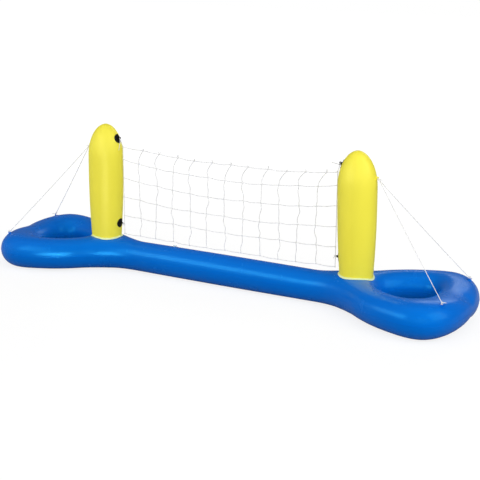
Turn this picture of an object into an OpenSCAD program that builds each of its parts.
// Inflatable pool volleyball set: a dog-bone base with a ring-shaped pod at each end,
// two upright posts, a knotted net tied between them and four guy cords.
// Everything is drawn blown up and rigged. X runs along the base, Z is up, and the
// origin is the middle of the base on the floor. The front is towards -Y.

/* [Base] */
// Overall length of the base
base_length = 2440; // [1900:10:3000]
// Overall width of the base, across a pod
base_width = 620; // [500:5:760]
// Height of a blown-up pod
pod_height = 162; // [130:1:190]
// Length of one pod along the base
pod_length = 602; // [500:2:700]
// Width of the air tube that goes round each pod
ring_width = 180; // [140:1:200]
// Width of the long middle tube
tube_width = 142; // [110:1:170]
// Length over which the middle tube widens into a pod
flare_length = 156; // [120:2:320]
// How much wider a pod is at its outer end than at its middle, as a share
pod_flare = 0.36; // [0:0.01:0.5]
// Roundness of a pod's corners: 2 is an ellipse, 4 is nearly a rectangle
pod_squareness = 2.3; // [2:0.1:4]
// How far its own weight presses the base flat on the floor
squash = 1.5; // [0.5:0.1:4]

/* [Vinyl] */
// Thickness of every vinyl sheet
skin = 0.4; // [0.3:0.05:0.8]
// Width of the lap where two sheets are welded, turned inside
weld_lap = 6; // [4:0.5:10]

/* [Posts] */
// Distance of each post's axis from the middle of the base
post_x = 677; // [600:1:760]
// Width of a post, measured along the base
post_width = 180; // [140:1:200]
// Depth of a post as a share of its width
post_depth_share = 0.86; // [0.7:0.01:1]
// Width of a post at its foot, where the weld draws it in
post_foot_width = 156; // [120:1:165]
// Height over which the foot draws in
foot_taper = 340; // [100:10:400]
// Height of a post's top above the floor
post_top = 729; // [600:1:900]
// Height of the rounded top
dome_height = 160; // [100:1:200]
// How far the net pulls each post's top inwards
post_lean = 10; // [0:1:20]
// Width of the weld ring's flange on the base
foot_flange = 6; // [5:0.5:14]
// Height of the weld ring's lip up the post
foot_lip = 5; // [3:0.5:10]

/* [Net] */
// Height of the two upper net anchors above the floor
upper_anchor_z = 661; // [560:2:680]
// Height of the two lower net anchors above the floor
lower_anchor_z = 232; // [210:2:300]
// Number of meshes along the net
net_columns = 12; // [6:1:12]
// Diameter of the net cord
net_cord_d = 3; // [2.5:0.1:4]
// Gap between each end of the net and its post
net_end_gap = 16; // [15:1:40]
// Diameter of a net anchor's patch
anchor_patch_d = 46; // [30:1:60]
// Distance from a patch to the end of its eye
anchor_eye_reach = 17; // [15:1:24]

/* [Guy cords] */
// Diameter of a guy cord
guy_d = 3; // [2.5:0.1:4]
// Height of the guy tab on a post
guy_tab_z = 615; // [540:2:640]
// Distance of the guy eyelets from the middle of the base
guy_foot_x = 1142; // [1100:1:1160]
// Distance of the guy eyelets from the centre line
guy_foot_y = 194; // [150:1:220]

/* [Valves] */
// Distance of the base valve from the middle, towards the left post
base_valve_x = 290; // [150:5:380]
// Lean of the base valve towards the back
base_valve_lean = 20; // [0:1:40]
// Height of the post valves above the floor
post_valve_z = 232; // [215:1:300]
// Bore of a valve
valve_bore_d = 9; // [7:0.1:12]
// How far a closed valve can be pushed in
valve_travel = 12; // [6:0.5:16]

/* [Hidden] */
$fn = 48;
BLUE = [0.0, 0.42, 0.82];
YELLOW = [0.93, 0.87, 0.22];
PALE_YELLOW = [0.93, 0.96, 0.70];
WHITE = [0.95, 0.95, 0.95];
BLACK = [0.05, 0.05, 0.05];
CLEAR = [0.80, 0.88, 0.92];

// ---------- small helpers ----------

function lerp(a, b, t) = a + (b - a) * t;
function signed_power(v, p) = sign(v) * pow(abs(v), p);
function smooth_step(t) = let (c = max(0, min(1, t))) c * c * (3 - 2 * c);
function unit(v) = v / norm(v);
function mirrored_y(p) = [p[0], -p[1], p[2]];
function bezier(p, t) = pow(1 - t, 3) * p[0] + 3 * pow(1 - t, 2) * t * p[1]
    + 3 * (1 - t) * t * t * p[2] + t * t * t * p[3];

// Puts a child's Z axis along a direction
module aim(from, direction) {
    tilt = acos(direction[2] / norm(direction));
    turn = atan2(direction[1], direction[0]);
    translate(from) rotate([0, tilt, turn]) children();
}

// ---------- plan of the base, for the quarter with x and y above 0 ----------

pod_x = base_length / 2 - pod_length / 2;
hole_start_x = pod_x - pod_length / 2 + ring_width;
flare_start_x = pod_x - pod_length / 2 - flare_length;

pod_bulge = max([for (a = [60 : 2 : 100]) pod_side(a, 1)]);
function pod_side(angle, bulge) = let (p = 2 / pod_squareness)
    signed_power(sin(angle), p) * (1 + pod_flare * signed_power(cos(angle), p)) / bulge;
// A point on the pod's outline, or inset from it, at an angle round the pod
function pod_outline(angle, inset) = [
    pod_x + (pod_length / 2 - inset) * signed_power(cos(angle), 2 / pod_squareness),
    (base_width / 2 - inset) * pod_side(angle, pod_bulge)
];

// The middle tube's side runs straight, then swings out to the pod's outline
join_angle = 128;
join_point = pod_outline(join_angle, 0);
join_run = unit(join_point - pod_outline(join_angle + 1, 0));
flare_curve = [
    [flare_start_x, tube_width / 2],
    [flare_start_x + 0.75 * flare_length, tube_width / 2],
    join_point - 0.3 * flare_length * join_run,
    join_point
];

// Stations run from the middle of the base to its end. Each one crosses the skin from
// an inner edge (the centre line, then the hole) to the outer outline.
TUBE_STEPS = 2;
FLARE_STEPS = 8;
RING_STEPS = 14;
STATIONS = TUBE_STEPS + FLARE_STEPS + RING_STEPS;
HOLE_STATION = TUBE_STEPS + FLARE_STEPS;
ACROSS = 9;

function flare_inner_x(t) = lerp(flare_start_x, hole_start_x, sin(90 * lerp(t, t * (2 - t), 0.4)));
function station_edges(i) =
    i < TUBE_STEPS ? let (x = flare_start_x * i / TUBE_STEPS) [[x, 0], [x, tube_width / 2]] :
    i < HOLE_STATION ? let (t = (i - TUBE_STEPS) / FLARE_STEPS)
        [[flare_inner_x(t), 0], bezier(flare_curve, t)] :
    let (t = (i - HOLE_STATION) / RING_STEPS)
        [pod_outline(180 * (1 - t), ring_width), pod_outline(join_angle * (1 - t), 0)];

// Steps across the skin crowd towards the welds, where it curves most
function across_share(i, j) = let (
    t = j / ACROSS,
    to_ring = smooth_step((i - TUBE_STEPS) / FLARE_STEPS))
    lerp(sin(90 * t), (1 - cos(180 * t)) / 2, to_ring);

edges = [for (i = [0 : STATIONS]) station_edges(i)];
outer_side = [for (e = edges) e[1]];
hole_side = [for (i = [HOLE_STATION : STATIONS]) edges[i][0]];

// ---------- how far the air pressure lifts the skin ----------

function segment_distance(p, a, b) = let (
    ab = b - a,
    t = max(0, min(1, (p - a) * ab / (ab * ab))))
    norm(p - a - t * ab);
function path_distance(p, path) =
    min([for (k = [1 : len(path) - 1]) segment_distance(p, path[k - 1], path[k])]);

// Room to each weld, joined so that a plain strip gives the curve of a round tube
function room(p) = let (
    front = path_distance(p, outer_side),
    back = path_distance([p[0], -p[1]], outer_side),
    hole = path_distance(p, hole_side),
    nearest = min(front, back, hole))
    nearest < 0.01 ? 0 : 1 / (1 / front + 1 / back + 1 / hole);
// The skin is tight, so it hardly rises further where the plan is widest
function tight(level) = level / pow(1 + pow(level, 8), 1 / 8);
ring_level = tight(0.93);
function lift(p) = ((pod_height + squash) / 2) * sqrt(tight(room(p) / (ring_width / 4)) / ring_level);

// Height of the weld plane: every part of the base rests on the floor
tube_weld_z = lift([0, 0]) - squash;
pod_weld_z = (pod_height + squash) / 2 - squash;
function weld_z(x) = lerp(tube_weld_z, pod_weld_z,
    smooth_step((abs(x) - flare_start_x) / flare_length));
// Height of the base's upper skin at any place
function skin_z(x, y) = weld_z(x) + lift([abs(x), abs(y)]);
function skin_normal(x, y) = let (d = 4) unit([
    (skin_z(x - d, y) - skin_z(x + d, y)) / (2 * d),
    (skin_z(x, y - d) - skin_z(x, y + d)) / (2 * d),
    1]);

// ---------- the two base sheets ----------

// One profile a station: outer skin, the two edges of the turned-in lap, inner skin
// and, round a hole, the lap there. side is 1 for the upper sheet, -1 for the lower.
ROWS = 2 * ACROSS + 6;
function skin_grid(side) = [for (i = [0 : STATIONS]) [for (j = [0 : ACROSS]) let (
    p = lerp(edges[i][0], edges[i][1], across_share(i, j)),
    z = weld_z(p[0]) + side * lift(p))
    [p[0], p[1], max(0, z)]]];

function grid_normal(g, i, j) = let (
    along = g[min(i + 1, STATIONS)][j] - g[max(i - 1, 0)][j],
    run = i == 0 ? [along[0], 0, 0] : i == STATIONS ? [0, along[1], 0] : along,
    across = g[i][min(j + 1, ACROSS)] - g[i][max(j - 1, 0)],
    rise = (j == 0 && i < HOLE_STATION) ? [0, across[1], 0] : across,
    n = cross(run, rise))
    unit(n);
// Level direction out of the chamber at a weld
function weld_out(i, j) = let (
    path = j == 0 ? 0 : 1,
    a = edges[max(i - 1, j == 0 ? HOLE_STATION : 0)][path],
    b = edges[min(i + 1, STATIONS)][path],
    run = b - a,
    level = i == STATIONS ? [0, run[1]] : (j == 0 && i == HOLE_STATION) ? [0, run[1]] : run,
    n = unit([-level[1], level[0]]))
    j == 0 ? [-n[0], -n[1], 0] : [n[0], n[1], 0];

function station_profile(g, i, side) = let (
    at_hole = i >= HOLE_STATION,
    up = side * skin * [0, 0, 1],
    out = weld_out(i, ACROSS),
    in_hole = at_hole ? weld_out(i, 0) : [0, 0, 0],
    outer_weld = g[i][ACROSS],
    hole_weld = g[i][0],
    inner = [for (j = [0 : ACROSS])
        (j == ACROSS) ? outer_weld - skin * out + up :
        (j == 0 && at_hole) ? hole_weld - skin * in_hole + up :
        g[i][j] - side * skin * grid_normal(g, i, j)])
    concat(
        g[i],
        [outer_weld - weld_lap * out, outer_weld - weld_lap * out + up],
        [for (j = [ACROSS : -1 : 0]) inner[j]],
        [hole_weld - weld_lap * in_hole + up, hole_weld - weld_lap * in_hole]);

// The whole sheet is one closed surface, built from two mirrored halves that share
// every point on the centre line
function on_centre_line(m, row) = let (mm = abs(m))
    mm == STATIONS || (mm <= HOLE_STATION && (row == 0 || row > 2 * ACROSS + 2));
function corner(half, m, row) =
    (m + STATIONS) * ROWS + row
    + ((half == 1 && !on_centre_line(m, row)) ? (2 * STATIONS + 1) * ROWS : 0);
function rows_join(m, row) = row < 2 * ACROSS + 3 || min(abs(m), abs(m + 1)) >= HOLE_STATION;

module base_sheet(side) {
    g = skin_grid(side);
    profiles = [for (i = [0 : STATIONS]) station_profile(g, i, side)];
    half = [for (m = [-STATIONS : STATIONS]) for (p = profiles[abs(m)])
        [(m < 0 ? -1 : 1) * p[0], p[1], p[2]]];
    points = concat(half, [for (p = half) mirrored_y(p)]);
    faces = [for (h = [0, 1]) for (m = [-STATIONS : STATIONS - 1]) for (r = [0 : ROWS - 1])
        if (rows_join(m, r)) let (
            s = (r + 1) % ROWS,
            a = corner(h, m, r),
            b = corner(h, m, s),
            c = corner(h, m + 1, s),
            d = corner(h, m + 1, r),
            // The inner skin splits its quads along the same diagonal as the outer skin
            pair = r > ACROSS + 2 ? [[a, b, d], [b, c, d]] : [[a, b, c], [a, c, d]],
            flip = (h == 1) != (side < 0))
        for (f = pair) flip ? [f[0], f[2], f[1]] : f];
    polyhedron(points, [for (f = faces) if (f[0] != f[1] && f[1] != f[2] && f[0] != f[2]) f]);
}

module base_upper_sheet() color(BLUE)
    difference() {
        base_sheet(1);
        on_base_valve() translate([0, 0, -20]) cylinder(r = socket_r + fit_gap, h = 40);
    }
module base_lower_sheet() color(BLUE) base_sheet(-1);

// ---------- posts: each an inner and an outer sheet, welded at the front and back ----------
// The right post is drawn, and the left one mirrors it. facing is -1 for the sheet that
// faces the net and 1 for the one that faces the pod.

seat_gap = 0.3;
fit_gap = 0.3;
foot_gap = 0.6;
dome_start_z = post_top - dome_height;
post_base_z = skin_z(post_x, 0) + foot_gap;

// Half the width of a post at some height. The dome is rounder along its welds than
// across them, and the foot is drawn in by its weld.
function post_radius(z, angle) = let (
    t = max(0, min(0.999, (z - dome_start_z) / dome_height)),
    dome = pow(1 - t * t, lerp(0.54, 0.5, abs(sin(angle)))),
    above = max(0, min(1, (z - post_base_z) / foot_taper)))
    post_width / 2 * dome - (post_width - post_foot_width) / 2 * pow(1 - above, 2);
// The section is an oval, and the axis leans towards the net
lean_slope = post_lean / (post_top - post_base_z);
function post_axis_x(z) = post_x - lean_slope * (z - post_base_z);
function post_oval(r, angle) = [r * cos(angle), post_depth_share * r * sin(angle)];
function post_point(z, angle, facing) = let (p = post_oval(post_radius(z, angle), angle))
    [post_axis_x(z) + facing * p[0], p[1], z];
function post_normal(z, angle, facing) = let (
    slope = (post_radius(z + 2, angle) - post_radius(z - 2, angle)) / 4)
    unit([facing * post_depth_share * cos(angle), sin(angle),
        post_depth_share * (facing * lean_slope * cos(angle) - slope)]);

ARC = [for (a = [-90 : 18 : 90]) a];
RISE = concat(
    [for (t = [0, 0.1, 0.33, 0.66, 1]) [0, t]],
    [[1, 0.3], [1, 0.65]],
    [for (t = [0, 0.22, 0.42, 0.6, 0.75, 0.87, 0.95]) [2, t]]);
// Level of a row of points: the foot follows the base, and higher rows are flat
function row_z(step, foot_z) =
    step[0] == 0 ? lerp(foot_z, post_base_z + foot_taper, step[1]) :
    step[0] == 1 ? lerp(post_base_z + foot_taper, dome_start_z, step[1]) :
    dome_start_z + dome_height * step[1];
// One level: outer arc, front lap, inner arc and back lap, as a closed loop
function post_level(step, facing) = let (
    outer = [for (a = ARC) let (
        foot = post_oval(post_foot_width / 2, a),
        z = row_z(step, skin_z(post_x + facing * foot[0], foot[1]) + foot_gap),
        p = post_oval(post_radius(z, a), a))
        [p[0], p[1], z]],
    last = len(ARC) - 1,
    inner = [for (k = [last : -1 : 0]) let (
        p = outer[k],
        r = norm([p[0], p[1]]),
        shrink = (r - skin) / r)
        (k == 0 || k == last) ? [skin, p[1] * shrink, p[2]] : [p[0] * shrink, p[1] * shrink, p[2]]])
    concat(outer,
        [outer[last] - [0, weld_lap, 0], outer[last] + [skin, -weld_lap, 0]],
        inner,
        [outer[0] + [skin, weld_lap, 0], outer[0] + [0, weld_lap, 0]]);

module post_sheet(facing) {
    levels = [for (step = RISE) post_level(step, facing)];
    n = len(levels[0]);
    arc = len(ARC);
    top = len(levels) - 1;
    tip = n * len(levels);
    upright = concat([for (level = levels) each level],
        [[0, 0, post_top], [skin, 0, post_top - skin]]);
    points = [for (p = upright) [p[0] + facing * (post_axis_x(p[2]) - post_x), p[1], p[2]]];
    base = n * top;
    sides = [for (k = [0 : top - 1]) for (q = [0 : n - 1]) let (
        a = k * n + q, b = k * n + (q + 1) % n)
        each (q > arc + 1 && q < 2 * arc + 1) ? [[a, a + n, b], [b, a + n, b + n]]
            : [[a, a + n, b + n], [a, b + n, b]]];
    foot = concat(
        [for (q = [0 : arc - 2]) each [
            [q, q + 1, 2 * arc - q],
            [q, 2 * arc - q, 2 * arc + 1 - q]]],
        [[arc - 1, arc, arc + 1], [arc - 1, arc + 1, arc + 2],
        [0, 2 * arc + 1, 2 * arc + 2], [0, 2 * arc + 2, 2 * arc + 3]]);
    crown = concat(
        [for (q = [0 : arc - 2]) [base + q, tip, base + q + 1]],
        [for (q = [arc + 2 : 2 * arc]) [base + q, tip + 1, base + q + 1]],
        [[tip, base, base + 2 * arc + 3], [tip, base + 2 * arc + 3, base + arc],
        [tip, base + arc, base + arc - 1],
        [tip + 1, base + arc + 2, base + arc + 1], [tip + 1, base + arc + 1, base + 2 * arc + 2],
        [tip + 1, base + 2 * arc + 2, base + 2 * arc + 1],
        [base + 2 * arc + 3, base + 2 * arc + 2, base + arc + 1],
        [base + 2 * arc + 3, base + arc + 1, base + arc]]);
    translate([post_x, 0, 0]) mirror([facing < 0 ? 1 : 0, 0, 0])
        polyhedron(points, concat(sides, foot, crown));
}

module on_left() mirror([1, 0, 0]) children();

module inner_sheet() color(YELLOW) post_sheet(-1);
module outer_sheet() color(YELLOW)
    difference() {
        post_sheet(1);
        on_post_valve() translate([0, 0, -20]) cylinder(r = socket_r + fit_gap, h = 40);
    }

module left_post_inner_sheet() on_left() inner_sheet();
module left_post_outer_sheet() on_left() outer_sheet();
module right_post_inner_sheet() inner_sheet();
module right_post_outer_sheet() outer_sheet();

// Weld ring at a post's foot: a flange that follows the base, and a lip up the post
FOOT_RING_STEPS = 2 * (len(ARC) - 1);
ring_sheet = 2 * skin;
module foot_ring() {
    section = [[0, 0], [foot_flange, 0], [foot_flange, ring_sheet],
        [ring_sheet, ring_sheet], [ring_sheet, foot_lip], [0, foot_lip]];
    count = len(section);
    points = [for (k = [0 : FOOT_RING_STEPS - 1]) let (a = 360 * k / FOOT_RING_STEPS)
        for (s = section) let (
            p = post_oval(post_foot_width / 2, a) + (fit_gap + s[0]) * [cos(a), sin(a)],
            x = post_x + p[0])
        [x, p[1], skin_z(x, p[1]) + foot_gap + s[1]]];
    total = len(points);
    faces = [for (k = [0 : FOOT_RING_STEPS - 1]) for (q = [0 : count - 1]) let (
        a = k * count + q, b = k * count + (q + 1) % count,
        c = (b + count) % total, d = (a + count) % total)
        each [[a, b, c], [a, c, d]]];
    color(PALE_YELLOW) polyhedron(points, faces);
}
module left_post_foot_ring() on_left() foot_ring();
module right_post_foot_ring() foot_ring();

// ---------- patches, eyes and knots ----------

// A thin round patch bent round an axis that lies along its own X
module bent_patch(d, thickness, bend_r) intersection() {
    translate([0, 0, -bend_r / 2]) cylinder(d = d, h = bend_r);
    translate([0, 0, -bend_r]) rotate([0, 90, 0]) difference() {
        cylinder(r = bend_r + thickness, h = 2 * d, center = true);
        cylinder(r = bend_r, h = 4 * d, center = true);
    }
}
// A flat tongue that stands on a patch, with a round end and an eye for a cord
eye_r = 2.2;
eye_rim = 3.2;
module eye_tongue(reach, thickness, foot_width) {
    end_r = eye_r + eye_rim;
    rotate([90, 0, 0]) translate([0, 0, -thickness / 2]) linear_extrude(thickness) difference() {
        union() {
            translate([0, reach - end_r]) circle(r = end_r);
            polygon([
                [-foot_width / 2, 0], [foot_width / 2, 0],
                [end_r, reach - end_r], [-end_r, reach - end_r]]);
        }
        translate([0, reach - end_r]) circle(r = eye_r);
    }
}
// Where the eye's centre stands above the patch
function eye_height(reach) = reach - eye_r - eye_rim;

// Black anchors on the posts' inner faces
patch_thickness = 1.2;
// The post's ends are more tightly curved than its front and back
function post_end_bend(z) = pow(post_depth_share, 2) * post_radius(z, 0) + 1;
module net_anchor(z) color(BLACK)
    aim(post_point(z, 0, -1) + seat_gap * post_normal(z, 0, -1), post_normal(z, 0, -1)) {
        bent_patch(anchor_patch_d, patch_thickness, post_end_bend(z));
        cylinder(d = anchor_patch_d / 2.4, h = patch_thickness + 1.6);
        eye_tongue(anchor_eye_reach, 3, 12);
    }
function anchor_eye(z) = post_point(z, 0, -1)
    + (seat_gap + eye_height(anchor_eye_reach)) * post_normal(z, 0, -1);
module right_upper_net_anchor() net_anchor(upper_anchor_z);
module right_lower_net_anchor() net_anchor(lower_anchor_z);
module left_upper_net_anchor() on_left() net_anchor(upper_anchor_z);
module left_lower_net_anchor() on_left() net_anchor(lower_anchor_z);

// Yellow tabs on the posts' outer faces, and blue eyelets on the pods, for the guy cords
tab_reach = 13;
tab_thickness = 1.6;
tab_patch_d = 24;
module guy_tab() color(YELLOW)
    aim(post_point(guy_tab_z, 0, 1) + seat_gap * post_normal(guy_tab_z, 0, 1),
        post_normal(guy_tab_z, 0, 1)) {
        bent_patch(tab_patch_d, 1, post_end_bend(guy_tab_z));
        eye_tongue(tab_reach, tab_thickness, 14);
    }
tab_eye = post_point(guy_tab_z, 0, 1)
    + (seat_gap + eye_height(tab_reach)) * post_normal(guy_tab_z, 0, 1);
module left_guy_tab() on_left() guy_tab();
module right_guy_tab() guy_tab();

eyelet_reach = 12;
eyelet_patch_d = 30;
// Each eyelet turns its flat side so that the cord pulls along it
eyelet_spot = [guy_foot_x, guy_foot_y, skin_z(guy_foot_x, guy_foot_y)];
eyelet_up = skin_normal(guy_foot_x, guy_foot_y);
eyelet_turn = atan2(guy_foot_y, guy_foot_x - tab_eye[0]);
module guy_eyelet() color(BLUE) translate(eyelet_spot + seat_gap * eyelet_up) {
    tilt = acos(eyelet_up[2]);
    lean = atan2(eyelet_up[1], eyelet_up[0]);
    rotate([0, 0, lean]) rotate([0, tilt, 0]) rotate([0, 0, eyelet_turn - lean]) {
        cylinder(d = eyelet_patch_d, h = 0.8);
        eye_tongue(eyelet_reach, tab_thickness, 16);
    }
}
foot_eye = eyelet_spot + (seat_gap + eye_height(eyelet_reach)) * eyelet_up;
module right_back_guy_eyelet() guy_eyelet();
module right_front_guy_eyelet() mirror([0, 1, 0]) guy_eyelet();
module left_back_guy_eyelet() on_left() guy_eyelet();
module left_front_guy_eyelet() on_left() mirror([0, 1, 0]) guy_eyelet();

// ---------- cords ----------

// A tube swept along a route; flat is any direction that the route never runs along
module cord_tube(route, d, sides, flat) {
    last = len(route) - 1;
    points = [for (k = [0 : last]) let (
        run = unit(route[min(k + 1, last)] - route[max(k - 1, 0)]),
        u = unit(cross(run, flat)),
        v = cross(run, u))
        for (q = [0 : sides - 1]) let (a = 360 * q / sides)
            route[k] + d / 2 * (cos(a) * u + sin(a) * v)];
    faces = concat(
        [for (k = [0 : last - 1]) for (q = [0 : sides - 1]) let (
            a = k * sides + q, b = k * sides + (q + 1) % sides)
            each [[a, b + sides, b], [a, a + sides, b + sides]]],
        [[for (q = [0 : sides - 1]) q]],
        [[for (q = [sides - 1 : -1 : 0]) last * sides + q]]);
    polyhedron(points, faces);
}

// A cord tied to an eye: a loop through the eye, then the knot
knot_r = 3.9;
loop_r = eye_r + eye_rim / 2;
knot_reach = 2 * loop_r + 0.6 * knot_r;
function knot_centre(eye, pull) = eye + knot_reach * pull;
module tied_loop(eye, pull, eye_axis, cord_d) {
    aim(eye + loop_r * pull, cross(pull, eye_axis))
        rotate_extrude($fn = 20) translate([loop_r, 0]) circle(d = cord_d, $fn = 14);
    aim(knot_centre(eye, pull), pull) sphere(r = knot_r, $fn = 16);
}
module cord_tail(from, direction, length, cord_d)
    aim(from, direction) cylinder(d = cord_d, h = length, $fn = 16);

// One V-shaped pair of guy cords holds each post: both leave the knot at its tab
tab_pull = unit([foot_eye[0] - tab_eye[0], 0, foot_eye[2] - tab_eye[2]]);
tab_knot = knot_centre(tab_eye, tab_pull);
foot_pull = unit(tab_knot - foot_eye);
foot_knot = knot_centre(foot_eye, foot_pull);
foot_eye_axis = unit(cross(eyelet_up, [foot_pull[0], foot_pull[1], 0]));
guy_sag = 3;
GUY_RINGS = 16;
cord_end_gap = 0.2;
guy_run = unit(foot_knot - tab_knot);
guy_top = tab_knot + (knot_r + cord_end_gap) * guy_run;
guy_bottom = foot_knot - (knot_r + cord_end_gap) * guy_run;
module guy_cord() color(WHITE) cord_tube(
    [for (k = [0 : GUY_RINGS]) let (t = k / GUY_RINGS)
        lerp(guy_top, guy_bottom, t) - [0, 0, guy_sag * 4 * t * (1 - t)]],
    guy_d, 8, [0, 0, 1]);
module right_back_guy_cord() guy_cord();
module right_front_guy_cord() mirror([0, 1, 0]) guy_cord();
module left_back_guy_cord() on_left() guy_cord();
module left_front_guy_cord() on_left() mirror([0, 1, 0]) guy_cord();

tail_length = 18;
module tab_guy_knot() color(WHITE) {
    tied_loop(tab_eye, tab_pull, [0, 1, 0], guy_d);
    cord_tail(tab_knot, [1, 0, 0.1], tail_length, guy_d);
}
module foot_guy_knot() color(WHITE) {
    away = unit([-foot_pull[0], -foot_pull[1], 0]);
    aside = [-away[1], away[0], 0];
    tied_loop(foot_eye, foot_pull, foot_eye_axis, guy_d);
    cord_tail(foot_knot, 0.6 * away + 0.8 * aside, tail_length, guy_d);
    cord_tail(foot_knot, 0.6 * away - 0.8 * aside, tail_length, guy_d);
}
module right_post_guy_knot() tab_guy_knot();
module left_post_guy_knot() on_left() tab_guy_knot();
module right_back_foot_knot() foot_guy_knot();
module right_front_foot_knot() mirror([0, 1, 0]) foot_guy_knot();
module left_back_foot_knot() on_left() foot_guy_knot();
module left_front_foot_knot() on_left() mirror([0, 1, 0]) foot_guy_knot();

// ---------- net ----------

net_end_x = post_x - post_width / 2 - net_end_gap;
// The net hangs just behind the anchors' eyes, so that the lower knots sit beside its ends
net_y = knot_r + net_cord_d / 2 + cord_end_gap;
// Its upper and lower corners hang below the anchors
upper_drop = 40;
lower_drop = 54;
net_top_z = upper_anchor_z - upper_drop;
net_bottom_z = lower_anchor_z - lower_drop;
// Share of the net's height at each level cord's ends, and how far each sags between them
LEVEL_SHARE = [0, 0.14, 0.35, 0.57, 0.785, 1];
LEVEL_SAG = [28, 42, 40, 29, 13, 6];
LEVELS = len(LEVEL_SHARE) - 1;
// The knots on the top cord have crept along it
function creep(u, level) = level == 0 ? 19 + 22 * u : 1 - level;
function waver(a, b, size) = size * sin(137 * a + 71 * b);
function net_knot(column, level) = let (
    u = column / net_columns,
    at_end = column == 0 || column == net_columns,
    x = lerp(-net_end_x, net_end_x, u) + (at_end ? 0 : creep(u, level) + waver(column, level, 3)),
    z = lerp(net_top_z, net_bottom_z, LEVEL_SHARE[level])
        - LEVEL_SAG[level] * (1 - pow(abs(2 * u - 1), 2.2)) + (at_end ? 0 : waver(level, column, 2)))
    [x, net_y + (at_end ? 0 : waver(column + 3, level, 4)), z];

// Straight cords run from knot to knot, and their ends are hidden inside the knots
CORD_SIDES = 6;
knot_d = 7;
knot_end = 14;
module net_cord(a, b, d) aim(a, b - a) cylinder(d = d, h = norm(b - a), $fn = CORD_SIDES);
module net() color(WHITE) {
    for (level = [0 : LEVELS]) for (column = [0 : net_columns]) let (knot = net_knot(column, level)) {
        translate(knot) hull() cube(knot_d, center = true);
        if (column < net_columns) net_cord(knot, net_knot(column + 1, level), net_cord_d);
        if (level < LEVELS) net_cord(knot, net_knot(column, level + 1), net_cord_d);
        if (level == 0 && column > 0 && column < net_columns)
            translate(knot) rotate([waver(column, 5, 18), waver(column, 9, 22), 0])
                cylinder(d = 0.8 * net_cord_d, h = knot_end, $fn = 4);
    }
}

// Ties from the net to the anchors' eyes, each with a loose end. The upper ones reach the
// net's corners; the lower ones hold its end strands, right beside their knots.
module net_tie(z, pull, reach, tail_direction, tail) color(WHITE) {
    eye = anchor_eye(z);
    knot = knot_centre(eye, pull);
    tied_loop(eye, pull, [0, 1, 0], net_cord_d);
    if (reach > knot_reach) cord_tail(knot, pull, reach - knot_reach, net_cord_d);
    cord_tail(knot, tail_direction, tail, net_cord_d);
}
upper_span = [net_end_x, net_y, net_top_z] - anchor_eye(upper_anchor_z);
module upper_net_tie(tail_direction, tail) net_tie(upper_anchor_z, unit(upper_span),
    norm(upper_span) - 0.65 * knot_d, tail_direction, tail);
module lower_net_tie() net_tie(lower_anchor_z, [-1, 0, 0], 0, [-0.2, -1, -0.4], 14);
module right_upper_net_tie() upper_net_tie([-0.8, -0.5, 0.35], 40);
module right_lower_net_tie() lower_net_tie();
module left_upper_net_tie() on_left() upper_net_tie([0, -0.35, -1], 50);
module left_lower_net_tie() on_left() lower_net_tie();

// ---------- valves ----------
// Each is drawn standing on the skin, with Z outwards and its hinge towards -X. The body is
// welded into the skin, the stem slides in its socket, and the plug swings on the stem's pin.

valve_wall = 1.2;
valve_bore_r = valve_bore_d / 2;
stem_r = valve_bore_r + valve_wall;
socket_bore_r = stem_r + fit_gap;
socket_r = socket_bore_r + valve_wall;
socket_depth = 4;
flange_d = 34;
flange_thickness = 0.8;
// The stem at rest is pushed in as far as its lip allows a finger to grip it
lip_r = stem_r + 1.8;
lip_top = 4.2;
collar_r = socket_bore_r + 0.7;
collar_top = -socket_depth - fit_gap - valve_travel;
stem_bottom = collar_top - valve_wall;
// Hinge of the plug, on two ears of the lip
pin_x = -lip_r - 3.5;
pin_z = lip_top - 0.8;
pin_r = 0.8;
pin_clearance = 0.08;
ear_r = 1.4;
ear_gap = 3.6;
ear_width = 1.5;
barrel_r = 1.6;
// The plug
cap_r = lip_r + 0.5;
cap_thickness = 1.6;
cap_z = lip_top + fit_gap;
cone_depth = 6;
cone_top_r = valve_bore_r - 0.25;
cone_tip_r = valve_bore_r - 1.1;
pull_tab_reach = 5;
pull_tab_width = 6;
strap_thickness = 1.2;

module valve_body(bend_r) color(CLEAR) difference() {
    union() {
        bent_patch(flange_d, flange_thickness, bend_r);
        translate([0, 0, -socket_depth]) cylinder(r = socket_r, h = socket_depth + valve_wall);
    }
    translate([0, 0, -2 * socket_depth]) cylinder(r = socket_bore_r, h = 4 * socket_depth);
}
module valve_ear() {
    translate([pin_x, ear_gap / 2, pin_z]) rotate([-90, 0, 0]) cylinder(r = ear_r, h = ear_width);
    translate([pin_x, ear_gap / 2, lip_top - valve_wall])
        cube([-pin_x - valve_bore_r - valve_wall / 2, ear_width, valve_wall]);
}
module valve_stem() color(CLEAR) {
    difference() {
        union() {
            translate([0, 0, stem_bottom]) cylinder(r = stem_r, h = lip_top - stem_bottom);
            translate([0, 0, lip_top - valve_wall]) cylinder(r = lip_r, h = valve_wall);
            translate([0, 0, stem_bottom]) cylinder(r = collar_r, h = valve_wall);
        }
        translate([0, 0, stem_bottom - 1]) cylinder(r = valve_bore_r, h = lip_top - stem_bottom + 2);
    }
    valve_ear();
    mirror([0, 1, 0]) valve_ear();
    translate([pin_x, 0, pin_z]) rotate([90, 0, 0])
        cylinder(r = pin_r, h = ear_gap + ear_width, center = true);
}
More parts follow.
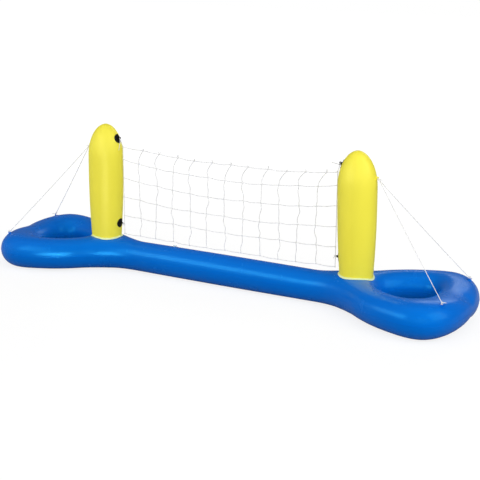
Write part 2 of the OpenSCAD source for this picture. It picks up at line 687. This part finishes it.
module valve_plug() color(CLEAR) {
    strap_width = ear_gap - 2 * fit_gap;
    translate([0, 0, cap_z]) cylinder(r = cap_r, h = cap_thickness);
    translate([0, 0, cap_z - cone_depth]) cylinder(r1 = cone_tip_r, r2 = cone_top_r, h = cone_depth);
    translate([0, -pull_tab_width / 2, cap_z])
        cube([cap_r + pull_tab_reach, pull_tab_width, strap_thickness]);
    difference() {
        union() {
            translate([pin_x, 0, pin_z]) rotate([90, 0, 0])
                cylinder(r = barrel_r, h = strap_width, center = true);
            translate([pin_x, -strap_width / 2, cap_z]) cube([-pin_x, strap_width, strap_thickness]);
        }
        translate([pin_x, 0, pin_z]) rotate([90, 0, 0])
            cylinder(r = pin_r + pin_clearance, h = 2 * strap_width, center = true);
    }
}

base_valve_y = tube_width / 2 * sin(base_valve_lean);
module on_base_valve()
    translate([-base_valve_x, base_valve_y, skin_z(base_valve_x, base_valve_y) + seat_gap])
        rotate([-base_valve_lean, 0, 0]) children();
module base_valve_body() on_base_valve() valve_body(tube_width / 2 + 14);
module base_valve_stem() on_base_valve() valve_stem();
module base_valve_plug() on_base_valve() valve_plug();

// The post valves sit low on the backs of the outer sheets
post_valve_angle = 54;
post_valve_normal = post_normal(post_valve_z, post_valve_angle, 1);
post_valve_spot = post_point(post_valve_z, post_valve_angle, 1) + seat_gap * post_valve_normal;
module on_post_valve() aim(post_valve_spot, post_valve_normal) children();
module right_post_valve_body() on_post_valve() valve_body(post_radius(post_valve_z, 0) + 1);
module right_post_valve_stem() on_post_valve() valve_stem();
module right_post_valve_plug() on_post_valve() valve_plug();
module left_post_valve_body() on_left() right_post_valve_body();
module left_post_valve_stem() on_left() right_post_valve_stem();
module left_post_valve_plug() on_left() right_post_valve_plug();

base_upper_sheet();
base_lower_sheet();
left_post_inner_sheet();
left_post_outer_sheet();
right_post_inner_sheet();
right_post_outer_sheet();
left_post_foot_ring();
right_post_foot_ring();
left_upper_net_anchor();
left_lower_net_anchor();
right_upper_net_anchor();
right_lower_net_anchor();
left_guy_tab();
right_guy_tab();
left_front_guy_eyelet();
left_back_guy_eyelet();
right_front_guy_eyelet();
right_back_guy_eyelet();
left_front_guy_cord();
left_back_guy_cord();
right_front_guy_cord();
right_back_guy_cord();
left_post_guy_knot();
right_post_guy_knot();
left_front_foot_knot();
left_back_foot_knot();
right_front_foot_knot();
right_back_foot_knot();
net();
left_upper_net_tie();
left_lower_net_tie();
right_upper_net_tie();
right_lower_net_tie();
base_valve_body();
base_valve_stem();
base_valve_plug();
left_post_valve_body();
left_post_valve_stem();
left_post_valve_plug();
right_post_valve_body();
right_post_valve_stem();
right_post_valve_plug();
